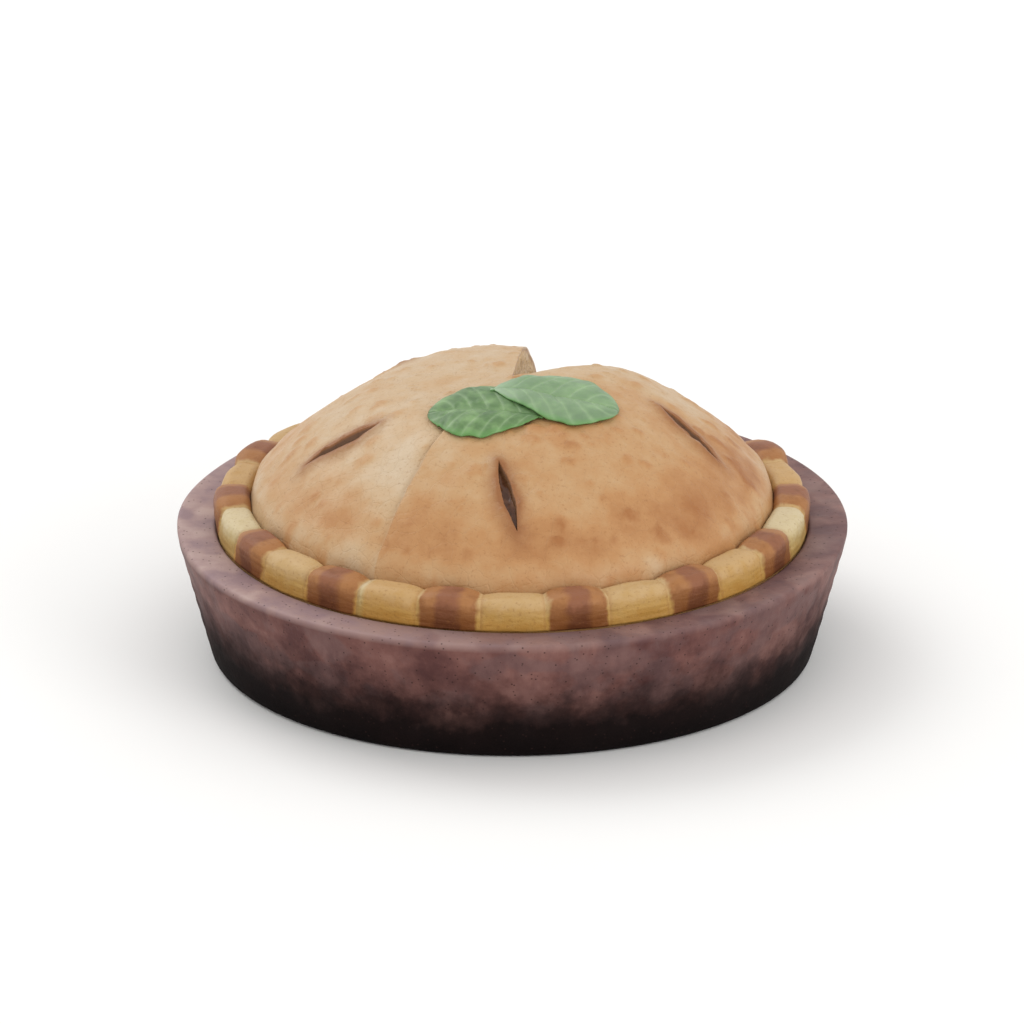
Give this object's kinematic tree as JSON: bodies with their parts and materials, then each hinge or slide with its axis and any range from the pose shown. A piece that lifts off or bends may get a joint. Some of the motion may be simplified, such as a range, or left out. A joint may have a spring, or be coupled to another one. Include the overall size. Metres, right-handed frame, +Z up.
{
  "type": "meat pie",
  "caption": "Round meat pie with a domed slit lid, crimped border, herb leaves and a slice taken out, in its own thick stoneware dish.",
  "frame": {"origin": "centre of the dish's underside, on the surface that the dish stands on", "axes": "+Z up; -Y is the front, where the leaves lie; +X is to the right seen from the front; the missing slice is at the back on the right"},
  "size_m": [0.2486, 0.2488, 0.1131],
  "materials": {
    "stoneware": "matte",
    "pastry": "satin",
    "meat_filling": "satin",
    "leaf": "satin"
  },
  "bodies": {
    "root": {"dish": "stoneware", "base_crust": "pastry", "filling": "meat_filling", "lid": "pastry", "rim_rope": "pastry", "leaf_left": "leaf", "leaf_right": "leaf"}
  },
  "joints": []
}
